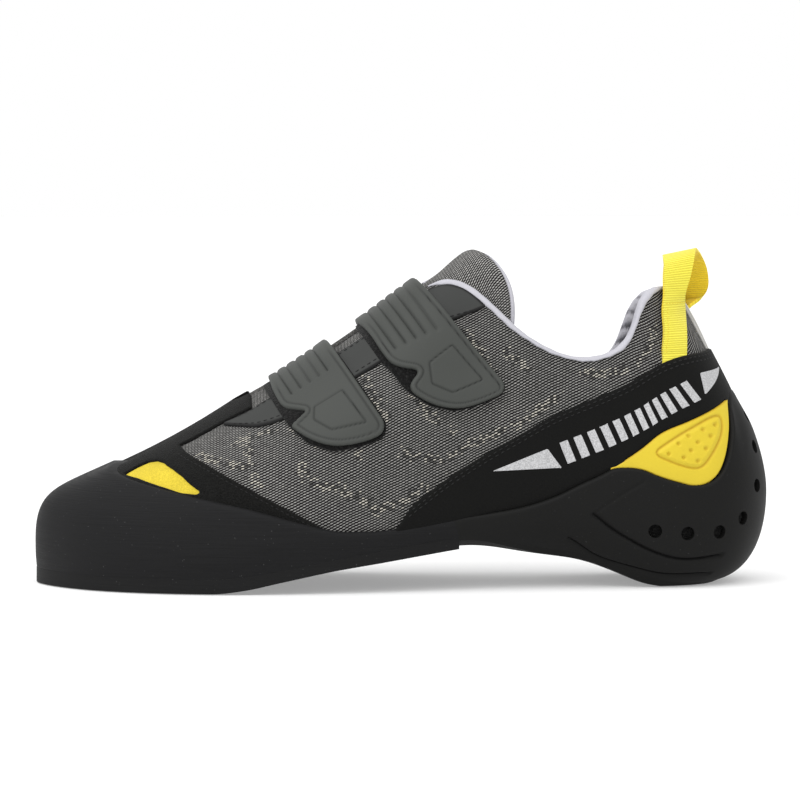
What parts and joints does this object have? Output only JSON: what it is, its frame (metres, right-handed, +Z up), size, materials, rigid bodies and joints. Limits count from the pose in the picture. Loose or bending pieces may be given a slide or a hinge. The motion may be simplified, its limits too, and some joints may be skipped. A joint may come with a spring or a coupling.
{
  "type": "climbing shoe",
  "caption": "Left climbing shoe: hollow knit upper with instep straps, padded tongue, rubber toe rand and outsole, moulded heel cup with inserts, tension band and heel pull loop.",
  "frame": {"origin": "middle of the bounding box in plan, on the ground plane", "axes": "-X towards the toe, +X towards the heel, -Y towards the outer (lateral) side, +Z up"},
  "size_m": [0.2568, 0.0913, 0.1168],
  "materials": {
    "knit": "matte grey knit with pale slubs",
    "black_rubber": "matte black moulded rubber",
    "black_synthetic": "matte black synthetic suede",
    "yellow_rubber": "satin yellow moulded rubber",
    "strap_rubber": "satin dark grey moulded rubber",
    "yellow_webbing": "ribbed yellow webbing tape",
    "lining": "pale grey textile lining"
  },
  "bodies": {
    "root": {"upper": "knit", "toe_rand": "black_rubber", "heel_cup": "black_rubber", "outsole": "black_rubber", "heel_band": "black_synthetic", "heel_insert_outer": "yellow_rubber", "heel_insert_inner": "yellow_rubber", "insole": "lining", "tongue": "knit", "strap_front": "strap_rubber", "strap_rear": "strap_rubber", "pull_loop": "yellow_webbing"}
  },
  "joints": []
}
